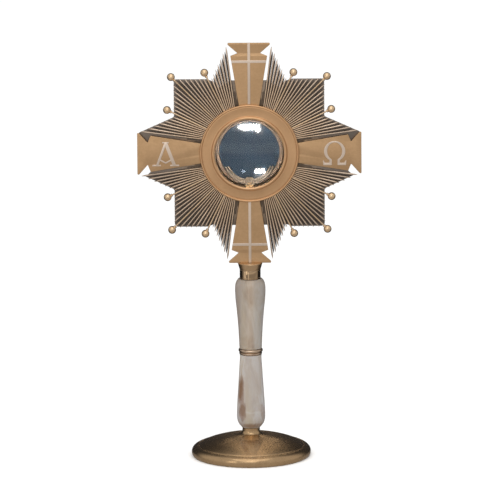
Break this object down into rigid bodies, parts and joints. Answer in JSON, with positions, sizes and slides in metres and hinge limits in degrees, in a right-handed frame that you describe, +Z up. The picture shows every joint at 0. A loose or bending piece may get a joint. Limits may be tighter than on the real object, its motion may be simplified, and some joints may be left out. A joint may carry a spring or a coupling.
{
  "type": "monstrance",
  "caption": "Altar monstrance: round spun brass foot, onyx stem, flat cross head with ray fans and ball finials, and a glazed round case with a hinged back door.",
  "frame": {"origin": "centre of the foot's resting face, on the table", "axes": "+Z up the stem to the top arm; -Y is the face with the window; +X is the side of the letter omega"},
  "size_m": [0.284, 0.1518, 0.535],
  "materials": {
    "felt": "dense green baize",
    "ballast_iron": "black painted casting",
    "polished_brass": "polished and lacquered, faint turning lines",
    "gilt_satin": "satin gilt, fine brushing",
    "ray_brass": "semi-polished, darker towards the roots",
    "aged_brass": "oxidised antique brass",
    "case_brass": "spun and lacquered",
    "silver": "satin silver plate",
    "lunette_silver": "polished silver gilt",
    "onyx": "polished cream onyx with grey clouds and brown veins",
    "slate_enamel": "satin slate-blue enamel",
    "clear_glass": "clear domed glass",
    "gasket_rubber": "matt",
    "leather": "thin washer leather",
    "steel": "zinc plated"
  },
  "bodies": {
    "stand": {"felt_pad": "felt", "ballast_plate": "ballast_iron", "foot_shell": "polished_brass", "foot_washer": "steel", "foot_nut": "steel", "tie_rod": "steel", "stem_gaskets": "leather", "lower_stem": "onyx", "middle_ring": "polished_brass", "upper_stem": "onyx", "top_collar": "polished_brass", "head_saddle": "gilt_satin", "saddle_screws": "steel", "arm_top": "gilt_satin", "arm_bottom": "gilt_satin", "arm_left": "gilt_satin", "arm_right": "gilt_satin", "inlay_cross_top": "silver", "inlay_cross_bottom": "silver", "letter_alpha": "silver", "letter_omega": "silver", "fan_upper_right": "ray_brass", "fan_upper_left": "ray_brass", "fan_lower_left": "ray_brass", "fan_lower_right": "ray_brass", "rear_fan_upper_right": "aged_brass", "rear_fan_upper_left": "aged_brass", "rear_fan_lower_left": "aged_brass", "rear_fan_lower_right": "aged_brass", "ball_rays": "ray_brass", "ball_finials": "polished_brass", "bezel_ring": "gilt_satin", "case_barrel": "case_brass", "glass_gasket": "gasket_rubber", "front_glass": "clear_glass", "head_screws": "steel", "hinge_bracket": "case_brass", "hinge_pin": "steel", "button_post": "case_brass", "button_screw": "steel", "lunette_track": "case_brass", "track_screw": "steel"},
    "back_door": {"door_plate": "case_brass", "door_lining": "slate_enamel", "lining_ring": "case_brass", "lining_screws": "steel", "door_knob": "polished_brass"},
    "turn_button": {"turn_button": "polished_brass"},
    "lunette": {"lunette_front": "lunette_silver", "lunette_pin": "steel"},
    "lunette_clip": {"lunette_clip": "lunette_silver"}
  },
  "joints": [
    {"name": "door_hinge", "type": "hinge", "parent": "stand", "child": "back_door", "pos_m": [0.0515, 0.0113, 0.393], "axis": [0, 0, -1], "range_deg": [0, 110]},
    {"name": "button_turn", "type": "hinge", "parent": "stand", "child": "turn_button", "pos_m": [-0.053, 0.0135, 0.399], "axis": [0, -1, 0], "range_deg": [0, 90]},
    {"name": "lunette_slide", "type": "slide", "parent": "stand", "child": "lunette", "axis": [0, 1, 0], "range_m": [0, 0.002]},
    {"name": "clip_hinge", "type": "hinge", "parent": "lunette", "child": "lunette_clip", "pos_m": [0, 0.00375, 0.357], "axis": [-1, 0, 0], "range_deg": [0, 14]}
  ]
}
